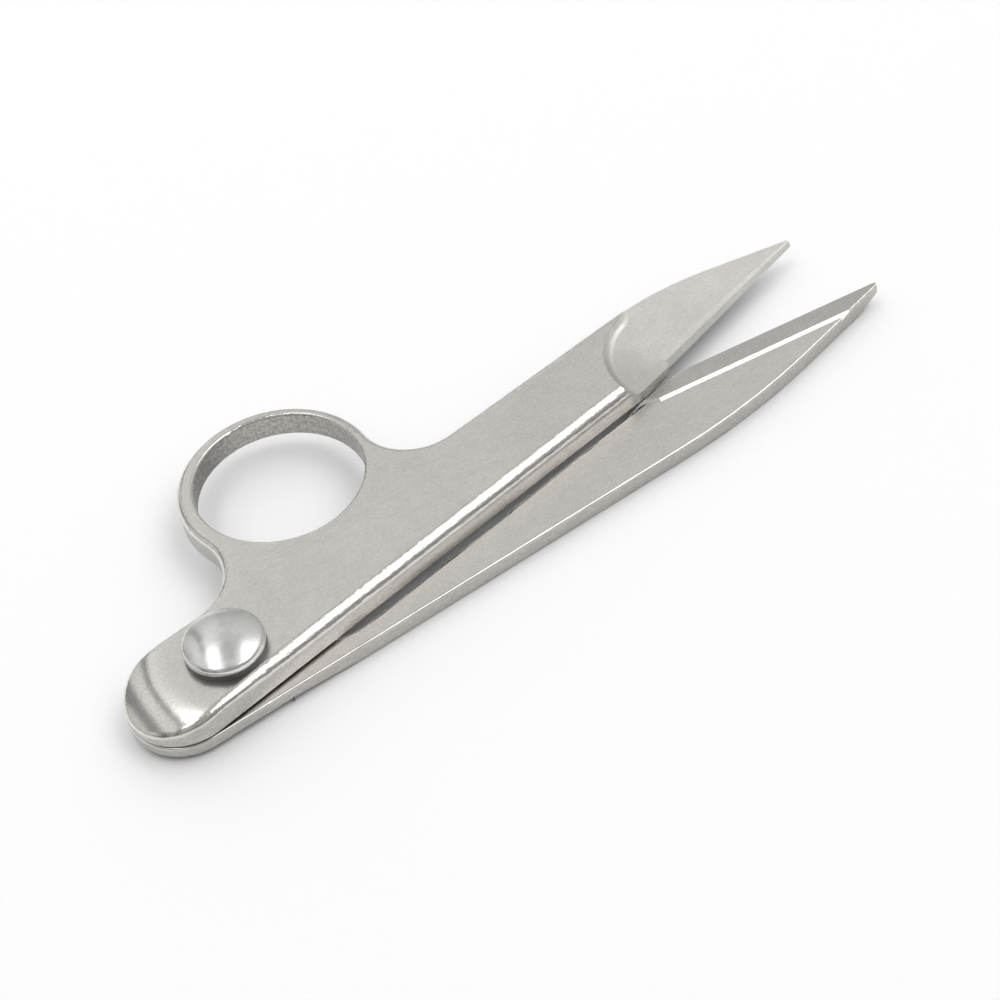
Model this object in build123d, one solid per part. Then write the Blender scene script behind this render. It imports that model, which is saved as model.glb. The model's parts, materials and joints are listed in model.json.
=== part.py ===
from build123d import *
from math import acos, atan2, cos, degrees, hypot, radians, sin, sqrt, tan
import os

# Thread snips: two forged steel arms riveted at the heel, the upper one with a finger ring.
# Frame: origin on the underside at the pivot axis, +X towards the blade tips, +Y towards
# the finger ring, +Z up. Millimetres. Drawn open, as the spring holds them at rest.

# Stack of the two arms, from the surface that they lie on
LAND_Z = 2.95        # cutting land and pivot boss of the thumb arm
FACE_Z = 2.70        # polished face of the thumb arm, a little lower than its land
SLIDE_GAP = 0.03     # running gap between the arms
ARM_T = 4.20         # thickness of the ring arm
RING_Z = LAND_Z + SLIDE_GAP
TOP_Z = RING_Z + ARM_T

# Heel, shared by both arms
HEEL = (-7.95, -0.05)
HEEL_R = 7.95
HEEL_TOP = HEEL[1] + HEEL_R
HEEL_END = (HEEL[0] - HEEL_R, HEEL[1])
ROLL_START_R = 8.2   # the ring arm's top face rolls off beyond this radius from the pivot
ROLL_R = 12.0

# Ring arm in plan
RICASSO = (72.9, -0.7)
CHOIL = (78.4, 0.55)
CHOIL_SAG = 0.2
RING_EDGE = (79.2, 1.6)
RING_TIP = (111.8, 9.0)
BACK_ROOT = (23.5, 9.8)    # the back and the heel's +Y side both end under the finger ring
HEEL_RISE = 0.9            # of the heel's +Y side up to there
SPINE_CORNER = (88.5, 13.5)
SPINE_R = 60.0
FINGER_HOLE = (23.5, 21.7)
FINGER_HOLE_R = 12.5
FINGER_RING = (23.1, 21.5)
FINGER_RING_R = 14.75
HEEL_BLEND_R = 9.0
BACK_BLEND_R = 8.0
TIP_R = 0.4          # both blade tips
BLANK_END = 125.0    # the arm's blank before the blade is cut from it

# Ring arm's edges, ground recess and cutting bevels
ARM_ROUND = 1.25
EDGE_ROUND = 1.95    # along the straight -Y edge, wider than elsewhere
EDGE_TAPER = 14.0    # length over which it widens, from the heel on
HOLE_ROUND = 0.40
UNDER_ROUND = 0.30
RECESS = ((71.0, 0.0, 2.0), (80.0, 12.5, 3.2), (109.0, 8.8, 0.88))  # on the ground face, above the underside
RECESS_CENTRE = (81.2, 1.3)
RECESS_R = 10.2
RECESS_TURN = -0.4   # the rim turns out over the spine here, along X from the centre
RECESS_TURN_R = 3.2
RECESS_L = 60.0      # from the centre, out past the tip
RECESS_DEPTH = 4.0
RECESS_FLARE = 35.0
RECESS_FILLET_R = 1.5
BEVEL_ROOT = ((0.60, 1.10), (1.40, 1.95))    # width and height of the two bevels at the choil
BEVEL_TIP = ((0.40, 0.62), (0.90, 1.05))     # and at the tip

# Thumb arm in plan
THUMB_BELLY = (83.4, -12.5)
THUMB_BELLY_R = 110.0
THUMB_TIP = (115.05, -6.8)
THUMB_EDGE = (79.55, 0.2)
THUMB_LAND = (72.6, -0.57)
LIP_MID = (45.4, -3.4)
LIP_HEEL = (1.0, -7.4)
NECK_R = 10.0        # hidden blend from the pivot's disc to the lip
BOSS_R = 6.5         # hidden pad round the pivot that the ring arm slides on
LAND_CORNER = (74.6, -2.0)
LAND_END = (102.9, -7.4)
STEP_TAPER = 65.0    # the land slopes down to the face
STEP_ROOT = 0.95     # how far those slopes run on inside the arm

# Thumb arm's edges
LIP_ROUND = 0.9
RIM_ROUND = 0.35
FOOT_ROUND = 0.30
HEEL_FOOT_ROUND = 1.50
FOOT_TAPER = (4.0, 16.0)   # the heel's foot rounding narrows to the arm's between these
FACE_SPLIT = -7.6          # the lip's rounding lies on the +Y side of this line, the rim's on the other
FACE_END = 106.0           # beyond this the land covers the whole blade
UNDERCUT = (1.9, 0.5)      # width of the cutting bevel on the underside, at the choil and the tip
TIP_LIFT = (108.0, 2.1)    # the underside rises from here to this height at the tip

# Rivet, washer and sleeve
HEAD_R = 5.75
HEAD_SIDE = 1.90      # to where side and dome would meet without the head's rounding
HEAD_ROUND = 0.90
DOME_RISE = 1.60
SHANK_R = 1.50
SLEEVE_R = 2.20
FIT = 0.02           # radial gap between the fixed pieces
RUNNING = 0.05       # radial gap where the ring arm turns
WASHER_R = 4.0
WASHER_T = 0.8
WASHER_SET = 0.05    # how far the washer and the sleeve's seat lie inside the arm
TAIL_R = 2.3

# Torsion spring and its pockets
WIRE_R = 0.40
COIL_R = 2.90
COIL_PITCH = 0.86
COIL_TURNS = 2.5
COIL_GAP = 0.04      # under the coil and over it
POCKET_R = 3.60
THUMB_POCKET = 0.90  # depth in the thumb arm
RING_POCKET = COIL_TURNS * COIL_PITCH + 2 * WIRE_R + 2 * COIL_GAP - THUMB_POCKET - SLIDE_GAP
LEG_L = 5.5
LEG_GAP = 0.1

# Stop pin in the thumb arm, and its slot in the ring arm
STOP_R = 8.6         # from the pivot, towards the heel
STOP_PIN_R = 1.0
STOP_FLOOR = 0.6
STOP_RISE = 1.4      # above the thumb arm
STOP_DEPTH = 1.6
CLOSING = 9.5        # degrees that the ring arm turns to close

HIGH = 20.0          # taller than anything in the model


def at(point, angle, distance):
    """The point at a distance from another, at an angle in degrees."""
    return (point[0] + distance * cos(radians(angle)), point[1] + distance * sin(radians(angle)))


def heading(start, end):
    """Angle in degrees of the line from one point to another."""
    return degrees(atan2(end[1] - start[1], end[0] - start[0]))


def heel_tangent(point, side):
    """Where the line from a point touches the heel circle, on its +Y (1) or -Y (-1) side."""
    far = hypot(point[0] - HEEL[0], point[1] - HEEL[1])
    return at(HEEL, heading(HEEL, point) + side * degrees(acos(HEEL_R / far)), HEEL_R)


def on_line(start, end, x):
    return (x, start[1] + (end[1] - start[1]) * (x - start[0]) / (end[0] - start[0]))


def prism(face, low, high):
    """A plan outline between two heights."""
    return extrude(Pos(0, 0, low) * face, high - low)


def near(shapes, point):
    """The vertex nearest to a plan point."""
    return shapes.sort_by(lambda v: hypot(v.X - point[0], v.Y - point[1]))[0]


def rounded(face, point, radius):
    return fillet(near(face.vertices(), point), radius)


def heel_arc(low):
    """The heel's round end, from its +Y side to where the lower edge leaves it."""
    return ThreePointArc((HEEL[0], HEEL_TOP), HEEL_END, low)


def ring_blank_face():
    """Heel, straight arm and finger ring, with the arm running on past the blade."""
    low = heel_tangent(RICASSO, -1)
    low_end = on_line(low, RICASSO, BLANK_END)
    high_end = on_line(BACK_ROOT, SPINE_CORNER, BLANK_END)
    heel_end = (HEEL[0], HEEL_TOP)
    outline = Polyline(low, low_end, high_end, BACK_ROOT, (BACK_ROOT[0], HEEL_TOP + HEEL_RISE), heel_end)
    face = make_face(outline + heel_arc(low))
    face += Pos(*FINGER_RING) * Circle(FINGER_RING_R)
    face = rounded(face, (17.4, HEEL_TOP + HEEL_RISE), HEEL_BLEND_R)
    return rounded(face, (32.0, 9.5), BACK_BLEND_R)


def blade_face():
    """The ring arm's blade from the ricasso to the tip."""
    back = on_line(BACK_ROOT, SPINE_CORNER, RICASSO[0])
    low = Polyline(back, RICASSO, CHOIL) + SagittaArc(CHOIL, RING_EDGE, -CHOIL_SAG)
    face = make_face(low + Polyline(RING_EDGE, RING_TIP, SPINE_CORNER, back))
    face = rounded(face, SPINE_CORNER, SPINE_R)
    return rounded(face, RING_TIP, TIP_R)


def heel_roll():
    """What the rolled heel leaves out of the ring arm, turned about the pivot axis."""
    centre = (ROLL_START_R, TOP_Z - ROLL_R)
    start = (ROLL_START_R, TOP_Z)
    end = at(centre, 45, ROLL_R)
    middle = at(centre, 67.5, ROLL_R)
    above = (end[0], HIGH)
    outline = ThreePointArc(start, middle, end) + Polyline(end, above, (ROLL_START_R, HIGH), start)
    section = Plane.XZ * make_face(outline)
    return Rot(0, 0, 90) * revolve(section, Axis.Z, 180)


def rims(body, low, high):
    """Edges of the outline between two heights, without the seam where the heel starts to roll."""
    edges = [e for e in body.edges() if e.bounding_box().min.Z >= low and e.bounding_box().max.Z <= high]
    return [e for e in edges if e.geom_type != GeomType.CIRCLE or abs(e.radius - ROLL_START_R) > 0.01]


def ground_plane():
    """The plane of the ground recess, facing up."""
    points = [Vector(x, y, RING_Z + z) for x, y, z in RECESS]
    normal = (points[1] - points[0]).cross(points[2] - points[0])
    if normal.Z < 0:
        normal = -normal
    return Plane(points[0], x_dir=(1, 0, 0), z_dir=normal)


def recess_cutter():
    """The ground hollow: its flared side is round towards the heel, then turns out over the spine."""
    plane = ground_plane()
    centre = plane.to_local_coords(Vector(*RECESS_CENTRE, plane.origin.Z))
    beyond = Pos(RECESS_TURN, 0) * Rectangle(RECESS_L, 2 * RECESS_R + 20, align=(Align.MIN, Align.CENTER))
    outline = Circle(RECESS_R) + beyond
    outline = rounded(outline, (RECESS_TURN, RECESS_R), RECESS_TURN_R)
    outline = rounded(outline, (RECESS_TURN, -RECESS_R), RECESS_TURN_R)
    hollow = extrude(outline, RECESS_DEPTH, taper=-RECESS_FLARE)
    floor_edges = hollow.edges().group_by(Axis.Z)[0]
    hollow = fillet(floor_edges.sort_by(Axis.X)[0], RECESS_FILLET_R)
    return plane * Pos(centre.X, centre.Y, 0) * hollow


def edge_cutter(start, end, base, sections):
    """A ruled solid along an edge, from (distance along it, face) pairs. A face's first
    coordinate points to the left of the edge and its second one up from the base."""
    angle = heading(start, end)
    left = (cos(radians(angle + 90)), sin(radians(angle + 90)), 0)
    along = (cos(radians(angle)), sin(radians(angle)), 0)
    faces = []
    for distance, face in sections:
        plane = Plane((*at(start, angle, distance), base), x_dir=left, z_dir=along)
        faces.append(plane * face)
    return loft(faces, ruled=True)


def polygon(*points):
    return make_face(Polyline(*points, close=True))


def bevel_cutter():
    """What the two cutting bevels leave out above the ring blade's edge."""
    length = hypot(RING_TIP[0] - RING_EDGE[0], RING_TIP[1] - RING_EDGE[1])
    sections = []
    for distance, (low_w, low_h), (high_w, high_h) in ((0.0, *BEVEL_ROOT), (length, *BEVEL_TIP)):
        rise = (high_w + 2 * (high_w - low_w), high_h + 2 * (high_h - low_h))
        face = polygon((0, 0), (low_w, low_h), (high_w, high_h), rise, (-5, rise[1]), (-5, 0))
        sections.append((distance, face))
    return edge_cutter(RING_EDGE, RING_TIP, RING_Z, sections)


def edge_round():
    """What the wide rounding leaves out along the ring arm's -Y edge."""
    low = heel_tangent(RICASSO, -1)
    length = hypot(CHOIL[0] - low[0], CHOIL[1] - low[1])
    radii = ((0, ARM_ROUND - 0.1), (EDGE_TAPER, EDGE_ROUND), (length, EDGE_ROUND))
    sections = [(distance, mirror(foot_corner(radius), Plane.XZ)) for distance, radius in radii]
    return edge_cutter(low, RICASSO, TOP_Z, sections)


def leg_slot(y, low, high):
    """Groove from the spring's pocket for one of its legs."""
    length = LEG_L + LEG_GAP
    return Pos(length / 2, y, (low + high) / 2) * Box(length, 2 * WIRE_R + LEG_GAP, high - low)


def disc(radius, low, high, point=(0, 0)):
    return Pos(*point, low) * Cylinder(radius, high - low, align=(Align.CENTER, Align.CENTER, Align.MIN))


def ring_arm():
    body = prism(ring_blank_face(), RING_Z, TOP_Z) - heel_roll()
    top = [e for e in rims(body, RING_Z + UNDER_ROUND, TOP_Z) if e.center().X < BLANK_END - 1]
    body = fillet(top, ARM_ROUND) - edge_round()
    under = [e for e in rims(body, 0, RING_Z + UNDER_ROUND) if e.center().X < BLANK_END - 1]
    body = fillet(under, UNDER_ROUND)
    beyond = Pos(BLANK_END - 10, 10) * Rectangle(2 * (BLANK_END - 10 - RICASSO[0]), 60)
    body -= prism(beyond - blade_face(), 0, HIGH)
    body -= recess_cutter()
    body -= bevel_cutter()
    body -= disc(FINGER_HOLE_R, RING_Z, TOP_Z, FINGER_HOLE)
    hole_rims = [e for e in body.edges().filter_by(GeomType.CIRCLE) if abs(e.radius - FINGER_HOLE_R) < 0.001]
    body = fillet(hole_rims, HOLE_ROUND)
    body -= disc(SLEEVE_R + RUNNING, 0, HIGH)
    body -= disc(POCKET_R, 0, RING_Z + RING_POCKET)
    body -= leg_slot(COIL_R, LAND_Z, RING_Z + RING_POCKET)
    travel = CenterArc((0, 0), STOP_R, 180, CLOSING)
    body -= prism(SlotArc(travel, 2 * (STOP_PIN_R + RUNNING)), 0, RING_Z + STOP_DEPTH)
    return body


def box_face(low, high):
    return Pos((low[0] + high[0]) / 2, (low[1] + high[1]) / 2) * Rectangle(high[0] - low[0], high[1] - low[1])


def soften(body, height, point, radius):
    """Round the level edge whose middle is nearest to a plan point, and all that runs on from it."""
    edges = [e for e in body.edges() if abs(e.bounding_box().min.Z - height) < 0.001]
    edges = [e for e in edges if e.bounding_box().size.Z < 0.001]
    edge = min(edges, key=lambda e: hypot(e.center().X - point[0], e.center().Y - point[1]))
    return fillet(edge, radius)


def thumb_face():
    """The lower arm in plan: heel, a disc round the pivot, belly, blade with a sharp tip, and lip."""
    low = heel_tangent(THUMB_BELLY, -1)
    lip = ThreePointArc(THUMB_LAND, LIP_MID, LIP_HEEL)
    inner = Polyline(LIP_HEEL, (0, 0), (0, HEEL_TOP), (HEEL[0], HEEL_TOP))
    outer = Polyline(low, THUMB_BELLY, THUMB_TIP, THUMB_EDGE, THUMB_LAND)
    face = make_face(lip + inner + heel_arc(low) + outer)
    face += Circle(HEEL_TOP)
    face = rounded(face, (3.0, -7.2), NECK_R)
    return rounded(face, THUMB_BELLY, THUMB_BELLY_R)


def raised(points, whole):
    """A flat top at the land's height whose sides slope down to the face."""
    low = FACE_Z - STEP_ROOT
    spread = (LAND_Z - low) * tan(radians(STEP_TAPER))
    foot = offset(polygon(*points), spread, kind=Kind.INTERSECTION)
    return loft([Pos(0, 0, low) * foot, Pos(0, 0, LAND_Z) * polygon(*points)], ruled=True) & whole


def foot_corner(radius):
    """The square corner that a rounding leaves out, with the arm on its left and above."""
    bend = radius * (1 - sqrt(0.5))
    square = Polyline((0, radius), (-1, radius), (-1, -1), (radius, -1), (radius, 0))
    return make_face(square + ThreePointArc((radius, 0), (bend, bend), (0, radius)))


def foot_taper():
    """Narrows the foot's rounding from the heel's radius to the arm's."""
    low = heel_tangent(THUMB_BELLY, -1)
    start = on_line(low, THUMB_BELLY, FOOT_TAPER[0])
    end = on_line(low, THUMB_BELLY, FOOT_TAPER[1])
    length = hypot(end[0] - start[0], end[1] - start[1])
    sections = [(0, foot_corner(HEEL_FOOT_ROUND)), (length, foot_corner(FOOT_ROUND))]
    return edge_cutter(start, end, 0, sections)


def thumb_slab(face, top):
    """The thumb arm below its face, with its foot rounded."""
    split = FOOT_TAPER[0]
    heel = prism(face & box_face((-40, -40), (split, 40)), 0, top)
    heel = soften(heel, 0, HEEL_END, HEEL_FOOT_ROUND)
    arm = prism(face & box_face((split, -40), (140, 40)), 0, top)
    arm = soften(arm, 0, LIP_MID, HEEL_FOOT_ROUND)
    arm = soften(arm, 0, (40.0, -10.0), FOOT_ROUND)
    return heel + (arm - foot_taper())


def undercut():
    """The ground bevel on the underside of the thumb blade's cutting edge."""
    length = hypot(THUMB_TIP[0] - THUMB_EDGE[0], THUMB_TIP[1] - THUMB_EDGE[1])
    sections = []
    for distance, width in ((0, UNDERCUT[0]), (length + 1, UNDERCUT[1])):
        sections.append((distance, polygon((0, LAND_Z), (5, LAND_Z), (5, -1), (-width, -1), (-width, 0))))
    return edge_cutter(THUMB_EDGE, THUMB_TIP, 0, sections)


def tip_lift():
    """A wedge off the underside, so that the thumb blade thins towards its tip."""
    start, height = TIP_LIFT
    end = THUMB_TIP[0]
    outline = polygon((start, 0), (end, height), (end, -1), (start, -1))
    return extrude(Plane.XZ * outline, 40, both=True)


def thumb_arm():
    face = thumb_face()
    base = FACE_Z - STEP_ROOT
    split = FOOT_TAPER[0]
    heel = soften(prism(face & box_face((-40, -40), (split, 40)), base, FACE_Z), FACE_Z, HEEL_END, RIM_ROUND)
    inner_face = face & box_face((split, FACE_SPLIT), (FACE_END, 40))
    outer_face = face & box_face((split, -40), (FACE_END, FACE_SPLIT))
    inner = soften(prism(inner_face, base, FACE_Z), FACE_Z, LIP_MID, LIP_ROUND)
    outer = soften(prism(outer_face, base, FACE_Z), FACE_Z, (40.0, -10.0), RIM_ROUND)
    whole = soften(prism(face, base, LAND_Z), LAND_Z, (31.0, -10.0), RIM_ROUND)
    streak = heading(LAND_CORNER, LAND_END)
    corner = heading(LAND_CORNER, THUMB_LAND)
    land = [LAND_CORNER, at(LAND_CORNER, streak, 50), (125, 10), at(LAND_CORNER, corner, 15)]
    body = thumb_slab(face, base) + heel + inner + outer + raised(land, whole) + disc(BOSS_R, base, LAND_Z)
    body -= prism(face - rounded(face, THUMB_TIP, TIP_R), -1, HIGH)
    body -= undercut()
    body -= tip_lift()
    body -= disc(SLEEVE_R + FIT, -1, HIGH)
    body -= disc(WASHER_R + FIT, -1, WASHER_T + WASHER_SET)
    body -= disc(POCKET_R, LAND_Z - THUMB_POCKET, HIGH)
    body -= leg_slot(-COIL_R, LAND_Z - THUMB_POCKET, RING_Z)
    return body - disc(STOP_PIN_R + FIT, STOP_FLOOR, HIGH, (-STOP_R, 0))


def turned(*outline, dome=None):
    """A round piece from its half outline in radius and height, with an optional domed end."""
    curve = Polyline(*outline)
    curve += dome if dome else Line(outline[-1], outline[0])
    return revolve(Plane.XZ * make_face(curve), Axis.Z)


def pivot_rivet():
    """Domed head, shank and countersunk tail."""
    seat = TOP_Z + SLIDE_GAP
    side_top = seat + HEAD_SIDE
    top = side_top + DOME_RISE
    dome_r = (HEAD_R**2 + DOME_RISE**2) / (2 * DOME_RISE)
    half = degrees(acos((dome_r - DOME_RISE) / dome_r)) / 2
    middle = at((0, top - dome_r), 90 - half, dome_r)
    dome = ThreePointArc((HEAD_R, side_top), middle, (0, top)) + Line((0, top), (0, 0))
    neck = TAIL_R - SHANK_R
    rivet = turned((0, 0), (TAIL_R, 0), (SHANK_R, neck), (SHANK_R, seat), (HEAD_R, seat), (HEAD_R, side_top),
                   dome=dome)
    corner = [e for e in rivet.edges().filter_by(GeomType.CIRCLE) if abs(e.center().Z - side_top) < 0.001]
    return fillet(corner, HEAD_ROUND)


def rivet_washer():
    """Steel washer set into the underside, countersunk for the rivet's tail."""
    bore = SHANK_R + FIT
    wide = bore + WASHER_T
    return turned((bore, WASHER_SET + WASHER_T), (wide, WASHER_SET), (WASHER_R, WASHER_SET),
                  (WASHER_R, WASHER_SET + WASHER_T))


def pivot_sleeve():
    """Bush round the rivet's shank that the ring arm turns on."""
    return disc(SLEEVE_R, WASHER_SET + WASHER_T, TOP_Z + SLIDE_GAP) - disc(SHANK_R + FIT, 0, HIGH)


def torsion_spring():
    """Round-wire coil about the sleeve with one straight leg in each arm."""
    low = LAND_Z - THUMB_POCKET + COIL_GAP + WIRE_R
    rise = COIL_TURNS * COIL_PITCH
    coil = Pos(0, 0, low) * Rot(0, 0, 270) * Helix(COIL_PITCH, rise, COIL_R, lefthand=True)
    lower = Line((LEG_L, -COIL_R, low), coil @ 0)
    upper = Line(coil @ 1, (LEG_L, COIL_R, low + rise))
    body = sweep(Plane(coil @ 0, z_dir=coil % 0) * Circle(WIRE_R), coil)
    for leg, bend in ((lower, coil @ 0), (upper, coil @ 1)):
        body += sweep(Plane(leg @ 0, z_dir=leg % 0) * Circle(WIRE_R), leg)
        body += Pos(*bend) * Sphere(WIRE_R)
    return body


def stop_pin():
    """Dowel in the thumb arm that limits how far the arms open and close."""
    return disc(STOP_PIN_R, STOP_FLOOR, LAND_Z + STOP_RISE, (-STOP_R, 0))


PIECES = (ring_arm, thumb_arm, pivot_rivet, rivet_washer, pivot_sleeve, torsion_spring, stop_pin)

os.makedirs("parts", exist_ok=True)
for piece in PIECES:
    export_step(piece(), f"parts/{piece.__name__}.step")
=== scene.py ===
import json
from math import cos, pi, radians, sin

import bpy
from mathutils import Matrix, Vector


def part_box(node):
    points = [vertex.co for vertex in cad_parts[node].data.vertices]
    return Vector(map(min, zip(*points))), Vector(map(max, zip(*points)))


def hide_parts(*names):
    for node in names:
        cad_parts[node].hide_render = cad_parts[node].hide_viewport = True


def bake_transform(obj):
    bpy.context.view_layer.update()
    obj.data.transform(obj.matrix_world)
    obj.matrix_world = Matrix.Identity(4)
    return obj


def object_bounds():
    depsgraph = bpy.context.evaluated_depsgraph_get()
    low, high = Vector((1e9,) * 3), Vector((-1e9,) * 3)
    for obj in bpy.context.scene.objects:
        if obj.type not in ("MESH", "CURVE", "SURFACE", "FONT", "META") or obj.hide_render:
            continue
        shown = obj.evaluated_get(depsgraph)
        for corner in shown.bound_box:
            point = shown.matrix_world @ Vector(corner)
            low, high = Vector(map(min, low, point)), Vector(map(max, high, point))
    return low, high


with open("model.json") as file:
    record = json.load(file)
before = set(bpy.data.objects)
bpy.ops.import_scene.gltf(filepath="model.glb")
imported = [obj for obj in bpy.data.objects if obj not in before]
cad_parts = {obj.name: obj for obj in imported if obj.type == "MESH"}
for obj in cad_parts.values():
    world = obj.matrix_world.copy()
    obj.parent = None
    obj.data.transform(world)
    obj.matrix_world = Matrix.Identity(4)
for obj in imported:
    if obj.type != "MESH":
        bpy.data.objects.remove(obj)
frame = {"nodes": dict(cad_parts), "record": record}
cad_low, cad_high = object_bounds()

MM = 0.001
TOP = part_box("ring_arm")[1].z
AIM = Vector((43.33 * MM, -4.91 * MM, TOP))


# ---------------------------------------------------------------- camera

VIEW_AZIMUTH = -30
VIEW_ELEVATION = 46.1
VIEW_ROLL = 11.04
VIEW_DISTANCE = 0.341
LENS = 88.2
SENSOR = 36


def direction(azimuth, elevation):
    """Unit vector towards a viewpoint: azimuth 0 is on the -Y side, both in degrees."""
    a, e = radians(azimuth), radians(elevation)
    return Vector((sin(a) * cos(e), -cos(a) * cos(e), sin(e)))


def basis(azimuth, elevation, roll):
    """Camera axes looking at the part from a viewpoint, turned about the line of sight."""
    back = direction(azimuth, elevation)
    right = Vector((cos(radians(azimuth)), sin(radians(azimuth)), 0))
    up = back.cross(right)
    c, s = cos(radians(roll)), sin(radians(roll))
    return Matrix((right * c - up * s, right * s + up * c, back)).transposed()


def make_camera():
    data = bpy.data.cameras.new("camera")
    data.sensor_width = SENSOR
    data.lens = LENS
    data.clip_start = 0.01
    data.clip_end = 20
    camera = bpy.data.objects.new("camera", data)
    axes = basis(VIEW_AZIMUTH, VIEW_ELEVATION, VIEW_ROLL)
    camera.matrix_world = Matrix.Translation(AIM + axes.col[2] * VIEW_DISTANCE) @ axes.to_4x4()
    bpy.context.scene.collection.objects.link(camera)
    bpy.context.scene.camera = camera


make_camera()


# ---------------------------------------------------------------- studio

AWAY = -direction(VIEW_AZIMUTH, 0)
ACROSS = Vector((cos(radians(VIEW_AZIMUTH)), sin(radians(VIEW_AZIMUTH)), 0))
UP = Vector((0, 0, 1))
# Greys of the room by the part of a direction upwards, across the view and away from it
ROOM_RISE = (
    (0.0, 0.50), (0.05, 0.42), (0.30, 0.52), (0.50, 0.62), (0.72, 0.70), (0.85, 0.60), (1.0, 0.55),
)
UPRIGHTS = (
    (-0.86, 1.25), (-0.82, 0.50), (-0.73, 0.50), (-0.69, 1.3), (-0.55, 1.3),
    (-0.52, 0.40), (-0.47, 0.50), (-0.44, 1.35), (-0.22, 1.30), (-0.08, 1.0),
)
ROOM_DEPTH = ((-0.8, 0.62), (-0.45, 0.62), (-0.2, 1.0), (1.0, 1.0))
# Two windows by the part of a direction across the view, how far they reach away from it, and
# how they fade in above the horizon
WINDOW = 1.75
WINDOWS = (
    (-0.46, 0), (-0.43, WINDOW), (-0.24, WINDOW), (-0.20, 0),
    (0.28, 0), (0.31, WINDOW), (0.70, WINDOW), (0.74, 0),
)
WINDOW_LENGTH = ((-0.50, 0), (-0.42, 1.0), (0.18, 1.0), (0.40, 0.15), (0.60, 0.0))
WINDOW_SILL = ((0.0, 0.0), (0.1, 1.0))

FLOOR_HALF = 3.0
FLOOR_GREY = 0.92
FLOOR_ROUGH = 0.7
FLOOR_GAP = 0.02 * MM

FILL_SIZE = 3.0
FILL_STRENGTH = 0.62
FILL_REACH = 1.1


def ramp(nodes, stops):
    """A grey colour ramp from (position, grey) pairs."""
    node = nodes.new("ShaderNodeValToRGB")
    points = node.color_ramp.elements
    while len(points) < len(stops):
        points.new(0.5)
    for point, (position, grey) in zip(points, stops):
        point.position = position
        point.color = (grey, grey, grey, 1)
    return node


def make_world():
    """A light grey room with two darker uprights on the left, and two tall windows overhead."""
    world = bpy.data.worlds.new("studio")
    world.use_nodes = True
    nodes, links = world.node_tree.nodes, world.node_tree.links
    place = nodes.new("ShaderNodeTexCoord").outputs["Generated"]

    def along(axis, stops):
        """A ramp over the part of each direction along an axis, from -1 to 1."""
        part = nodes.new("ShaderNodeVectorMath")
        part.operation = "DOT_PRODUCT"
        part.inputs[1].default_value = axis
        links.new(place, part.inputs[0])
        stretch = nodes.new("ShaderNodeMapRange")
        stretch.inputs["From Min"].default_value = -1
        links.new(part.outputs["Value"], stretch.inputs["Value"])
        tones = ramp(nodes, [((position + 1) / 2, grey) for position, grey in stops])
        links.new(stretch.outputs["Result"], tones.inputs["Fac"])
        return tones.outputs["Color"]

    def blend(kind, first, second):
        node = nodes.new("ShaderNodeMix")
        node.data_type = "RGBA"
        node.blend_type = kind
        node.inputs["Factor"].default_value = 1.0
        links.new(first, node.inputs["A"])
        links.new(second, node.inputs["B"])
        return node.outputs["Result"]

    room = blend("MULTIPLY", along(UP, ROOM_RISE), along(ACROSS, UPRIGHTS))
    room = blend("MULTIPLY", room, along(AWAY, ROOM_DEPTH))
    windows = blend("MULTIPLY", along(ACROSS, WINDOWS), along(AWAY, WINDOW_LENGTH))
    windows = blend("MULTIPLY", windows, along(UP, WINDOW_SILL))
    links.new(blend("ADD", room, windows), nodes["Background"].inputs["Color"])
    bpy.context.scene.world = world


def make_floor():
    mesh = bpy.data.meshes.new("floor")
    half = FLOOR_HALF
    corners = [(-half, -half, 0), (half, -half, 0), (half, half, 0), (-half, half, 0)]
    mesh.from_pydata(corners, [], [(0, 1, 2, 3)])
    floor = bpy.data.objects.new("floor", mesh)
    floor.location.z = cad_low.z - FLOOR_GAP
    material = bpy.data.materials.new("floor")
    material.use_nodes = True
    shader = material.node_tree.nodes["Principled BSDF"]
    shader.inputs["Base Color"].default_value = (FLOOR_GREY, FLOOR_GREY, FLOOR_GREY, 1)
    shader.inputs["Roughness"].default_value = FLOOR_ROUGH
    mesh.materials.append(material)
    bpy.context.scene.collection.objects.link(floor)


def make_lamp():
    """A broad lamp behind the part that lights the floor and leaves no highlight on the steel."""
    data = bpy.data.lights.new("fill", "AREA")
    data.size = FILL_SIZE
    data.energy = FILL_STRENGTH * pi * FILL_SIZE**2
    lamp = bpy.data.objects.new("fill", data)
    lamp.location = AIM + (AWAY + UP) * FILL_REACH
    lamp.rotation_euler = (UP + AWAY).to_track_quat("Z", "Y").to_euler()
    lamp.visible_camera = False
    lamp.visible_glossy = False
    bpy.context.scene.collection.objects.link(lamp)


make_world()
make_floor()
make_lamp()
bpy.context.scene.view_settings.view_transform = "Standard"


# ---------------------------------------------------------------- steel

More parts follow.
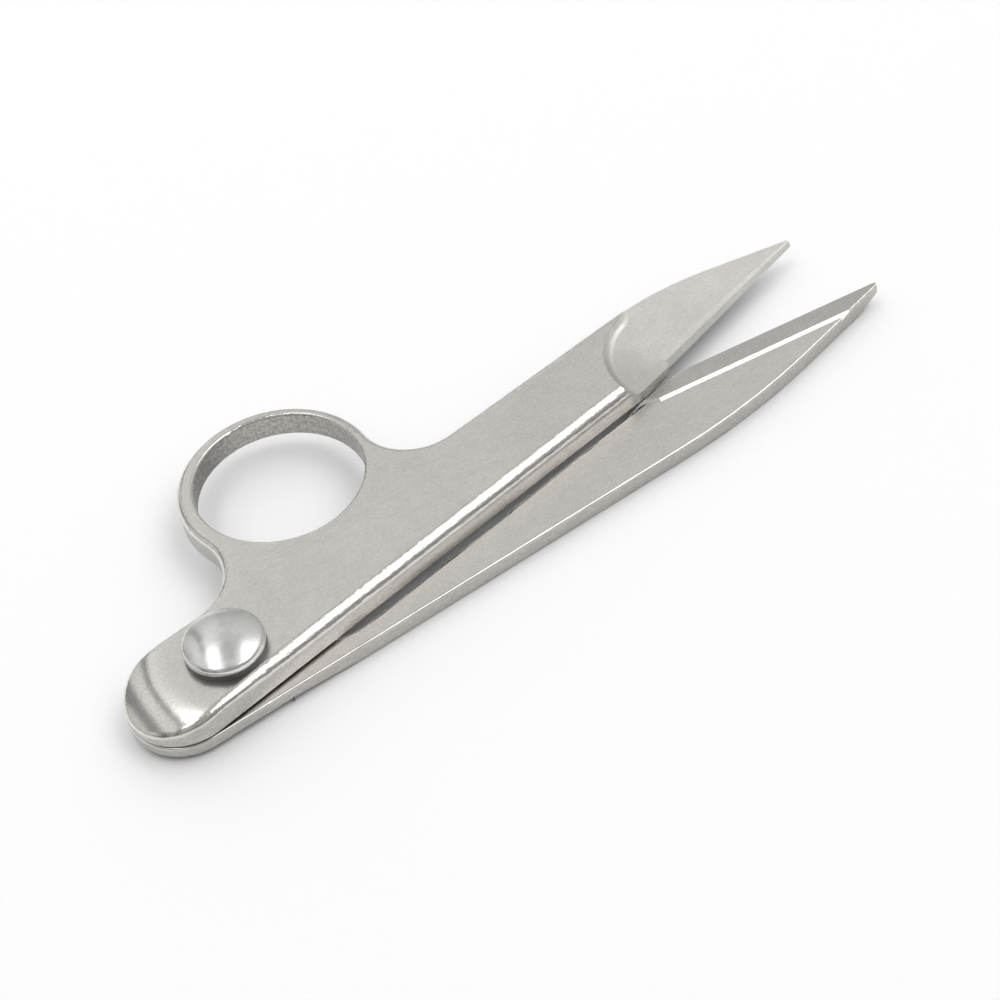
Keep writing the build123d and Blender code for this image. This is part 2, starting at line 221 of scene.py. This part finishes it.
class Graph:
    """Short calls for the nodes of one metal."""

    def __init__(self, name):
        self.material = bpy.data.materials.new(name)
        self.material.use_nodes = True
        self.nodes = self.material.node_tree.nodes
        self.links = self.material.node_tree.links
        self.shader = self.nodes["Principled BSDF"]
        self.shader.inputs["Metallic"].default_value = 1.0
        place = self.nodes.new("ShaderNodeTexCoord")
        self.place = place.outputs["Object"]
        self.length = self.split(self.place)["X"]
        self.width = self.split(self.place)["Y"]
        self.height = self.split(self.place)["Z"]
        self.slope = self.split(place.outputs["Normal"])["Z"]
        self.tilt = self.math("ABSOLUTE", self.slope)

    def put(self, value, socket):
        """A link from an output, or a plain number or colour."""
        if isinstance(value, bpy.types.NodeSocket):
            self.links.new(value, socket)
        else:
            socket.default_value = value

    def split(self, vector):
        node = self.nodes.new("ShaderNodeSeparateXYZ")
        self.put(vector, node.inputs[0])
        return node.outputs

    def math(self, operation, first, second=0.0):
        node = self.nodes.new("ShaderNodeMath")
        node.operation = operation
        self.put(first, node.inputs[0])
        self.put(second, node.inputs[1])
        return node.outputs[0]

    def span(self, value, low, high, at_low=0.0, at_high=1.0):
        """Runs smoothly from one value to another while the input goes from low to high."""
        node = self.nodes.new("ShaderNodeMapRange")
        node.interpolation_type = "SMOOTHSTEP"
        for socket, number in zip(node.inputs, (value, low, high, at_low, at_high)):
            self.put(number, socket)
        return node.outputs[0]

    def noise(self, size, detail=2.0, stretch=(1, 1, 1), turn=0.0):
        """Noise with marks of about a size in metres, longer along an axis that is turned about Z."""
        place = self.nodes.new("ShaderNodeMapping")
        place.vector_type = "TEXTURE"
        place.inputs["Rotation"].default_value = (0, 0, radians(turn))
        place.inputs["Scale"].default_value = stretch
        self.put(self.place, place.inputs["Vector"])
        node = self.nodes.new("ShaderNodeTexNoise")
        node.inputs["Scale"].default_value = 1 / size
        node.inputs["Detail"].default_value = detail
        self.put(place.outputs[0], node.inputs["Vector"])
        return node.outputs["Fac"]

    def swing(self, noise, amount):
        """A factor about one that follows a noise."""
        return self.span(noise, 0.25, 0.75, 1 - amount, 1 + amount)

    def product(self, first, *others):
        for other in others:
            first = self.math("MULTIPLY", first, other)
        return first

    def colour(self, tint, factor):
        node = self.nodes.new("ShaderNodeVectorMath")
        node.operation = "SCALE"
        node.inputs[0].default_value = tint
        self.put(factor, node.inputs["Scale"])
        self.links.new(node.outputs[0], self.shader.inputs["Base Color"])

    def bump(self, height, depth):
        node = self.nodes.new("ShaderNodeBump")
        node.inputs["Distance"].default_value = depth
        self.put(height, node.inputs["Height"])
        self.links.new(node.outputs[0], self.shader.inputs["Normal"])


WARM = (0.735, 0.715, 0.680)
COOL = (0.76, 0.76, 0.75)
TURNED = (0.54, 0.54, 0.53)
WIRE = (0.42, 0.42, 0.43)

# Size of the normal's Z part over which a wall ends, and over which a flat begins
WALL_TILT = (0.10, 0.40)
FLAT_TILT = (0.986, 0.9985)
# The normal's Z part over which the painted shade on faces that look down ends
UNDERSIDE_SHADE = (-0.8, -0.3)

ARM_RELIEF = 0.0012 * MM
# Depth of the marks on the roundings, as a multiple of the relief, and where the heel ends
DIMPLES = 34
BRUSH_LINES = 22
HEEL = (-6 * MM, 1 * MM)
HEEL_MARKS = 0.15
BLADE_MARKS = 0.2
GRIND_START = 69.3 * MM


def painted_blade_sweep(g, start, blade):
    """How much a painted reflection changes a ground blade, over a sweep from darker to lighter
    towards the tip.
    """
    sweep = g.math("ADD", g.length, g.product(g.width, 0.8))
    # Painted reflection: the blade is darker where the grinding starts and lighter towards the tip.
    painted_sweep = g.span(sweep, start + 5 * MM, start + 16 * MM, -0.12, 0.14)
    below = g.span(g.height, TOP - 0.5 * MM, TOP, 1, 0)
    return g.math("ADD", 1.0, g.product(painted_sweep, blade, below))


def bore_painted_shade(g, hole, wall):
    """Painted shade on a bore's wall, mottled and darker towards the heel. hole is x, y and radius.
    """
    x, y, radius = hole
    flatten = g.nodes.new("ShaderNodeVectorMath")
    flatten.operation = "MULTIPLY"
    flatten.inputs[1].default_value = (1, 1, 0)
    g.put(g.place, flatten.inputs[0])
    apart = g.nodes.new("ShaderNodeVectorMath")
    apart.operation = "DISTANCE"
    apart.inputs[1].default_value = (x, y, 0)
    g.put(flatten.outputs[0], apart.inputs[0])
    bore = g.span(apart.outputs["Value"], radius + 0.10 * MM, radius + 0.40 * MM, 1, 0)
    along = g.math("SUBTRACT", g.length, x - 0.1 * radius)
    # Painted shade: the wall is darker towards the heel.
    painted_shade_along = g.span(along, -0.5 * radius, 0.35 * radius, 0.46, 0.86)
    mottle = g.span(g.noise(0.45 * MM, 4), 0.3, 0.7, 0.78, 1.22)
    return g.span(g.product(bore, wall), 0, 1, 1, g.product(painted_shade_along, mottle))


def arm_steel(name, hole=None, land=None, ground_from=None):
    """Buffed flats, marked roundings and duller walls with brush marks and painted shade; faces that
    look down get painted shade too.
    hole is the axis and radius of a bore whose wall has painted shade, land the height of a flat that
    shows the grinding stone's lines, and ground_from where the blade's hazier grinding and a painted
    reflection sweep start."""
    g = Graph(name)
    flat = g.span(g.tilt, *FLAT_TILT)
    wall = g.span(g.tilt, *WALL_TILT, 1, 0)
    cloud = g.noise(14 * MM, 5)
    stain = g.noise(2.2 * MM, 4)
    speck = g.noise(0.32 * MM, 2)
    buffing = g.noise(0.25 * MM, 3, stretch=(14, 1, 1), turn=-4)
    brushing = g.noise(0.22 * MM, 3, stretch=(12, 1, 1), turn=-18)

    factor = g.product(g.swing(cloud, 0.03), g.swing(stain, 0.02))
    factor = g.product(factor, g.swing(speck, 0.06), g.swing(buffing, 0.03))
    # Walls get brush marks and painted shade that makes them darker than the flats.
    brushed_and_shaded_wall = g.span(brushing, 0.25, 0.75, 0.62, 0.80)
    # Faces that look down get painted shade.
    factor = g.product(factor, g.span(wall, 0, 1, 1, brushed_and_shaded_wall), g.span(g.slope, *UNDERSIDE_SHADE, 0.30, 1))
    rough = g.math("ADD", g.span(flat, 0, 1, 0.17, 0.29), g.span(wall, 0, 1, 0, 0.18))
    curved = g.product(g.span(flat, 0, 1, 1, 0), g.span(g.length, *HEEL, HEEL_MARKS, 1))

    if ground_from:
        blade = g.span(g.length, ground_from, ground_from + 1.5 * MM)
        haze = g.product(blade, g.span(g.tilt, 0.90, 0.985, 0.48, 0.34))
        rough = g.math("MAXIMUM", rough, haze)
        # Painted reflection sweep along the blade.
        factor = g.product(factor, painted_blade_sweep(g, ground_from, blade))
        curved = g.product(curved, g.span(blade, 0, 1, 1, BLADE_MARKS))
    rough = g.product(rough, g.swing(stain, 0.08), g.swing(cloud, 0.08))
    # Painted shade on the bore's wall.
    if hole:
        factor = g.product(factor, bore_painted_shade(g, hole, wall))
    if land:
        ground = g.product(g.span(g.height, land - 0.06 * MM, land - 0.02 * MM), flat)
        stone = g.noise(0.13 * MM, 2, stretch=(1, 22, 1), turn=-28)
        lined = g.span(g.product(ground, stone), 0.25, 0.75, 1, 0.90)
        factor = g.product(factor, lined, g.span(ground, 0, 1, 1, 0.84))
        rough = g.math("ADD", rough, g.span(ground, 0, 1, 0, 0.10))

    dimples = g.product(g.noise(0.8 * MM, 3), curved, DIMPLES)
    lines = g.product(g.noise(0.30 * MM, 3, stretch=(26, 1, 1), turn=-4), curved, BRUSH_LINES)
    relief = g.math("ADD", g.math("ADD", speck, buffing), g.math("ADD", dimples, lines))
    g.colour(WARM, factor)
    g.put(rough, g.shader.inputs["Roughness"])
    g.bump(relief, ARM_RELIEF)
    return g.material


def rivet_steel(name, rim):
    """A polished dome over a duller side with painted shade, which ends at the height rim."""
    g = Graph(name)
    above = g.span(g.height, rim, rim + 0.50 * MM)
    dome = g.math("MAXIMUM", g.span(g.tilt, 0.50, 0.82), above)
    cloud = g.noise(4 * MM, 5)
    stain = g.noise(1.1 * MM, 4)
    # Painted shade: the side below the dome is painted dark.
    shade = g.span(dome, 0, 1, 0.16, 1)
    g.colour(COOL, g.product(g.swing(cloud, 0.05), g.swing(stain, 0.04), shade))
    polish = g.span(dome, 0, 1, 0.40, 0.23)
    rough = g.product(polish, g.swing(cloud, 0.20), g.swing(stain, 0.12))
    g.put(rough, g.shader.inputs["Roughness"])
    g.bump(stain, 0.0015 * MM)
    return g.material


def plain_steel(name, tint, rough):
    """Turned or drawn steel with faint rings along its height."""
    g = Graph(name)
    cloud = g.noise(1.5 * MM, 4)
    rings = g.noise(0.12 * MM, 2, stretch=(20, 20, 1))
    g.colour(tint, g.product(g.swing(cloud, 0.08), g.swing(rings, 0.06)))
    g.put(g.product(rough, g.swing(rings, 0.2)), g.shader.inputs["Roughness"])
    g.bump(rings, 0.003 * MM)
    return g.material


def dress(node, material):
    mesh = frame["nodes"][node].data
    mesh.materials.clear()
    mesh.materials.append(material)


bore = next(m for m in frame["record"]["mounts"] if m["name"] == "finger_ring")
hole = (*bore["pos_m"][:2], bore["dims"]["r_mm"] * MM)
RIVET_RIM = TOP + 0.03 * MM + 0.90 * MM
dress("ring_arm", arm_steel("ring_arm_steel", hole=hole, ground_from=GRIND_START))
dress("thumb_arm", arm_steel("thumb_arm_steel", land=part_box("thumb_arm")[1].z))
dress("pivot_rivet", rivet_steel("rivet_steel", RIVET_RIM))
turned = plain_steel("turned_steel", TURNED, 0.34)
for node in ("rivet_washer", "pivot_sleeve", "stop_pin"):
    dress(node, turned)
dress("torsion_spring", plain_steel("spring_steel", WIRE, 0.3))


# ---------------------------------------------------------------- spring


def make_spring():
    """A copy of the spring's own shape, shown in place of the hidden part."""
    spring = bpy.data.objects.new("spring", frame["nodes"]["torsion_spring"].data.copy())
    bpy.context.scene.collection.objects.link(spring)
    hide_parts("torsion_spring")
    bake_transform(spring)


make_spring()
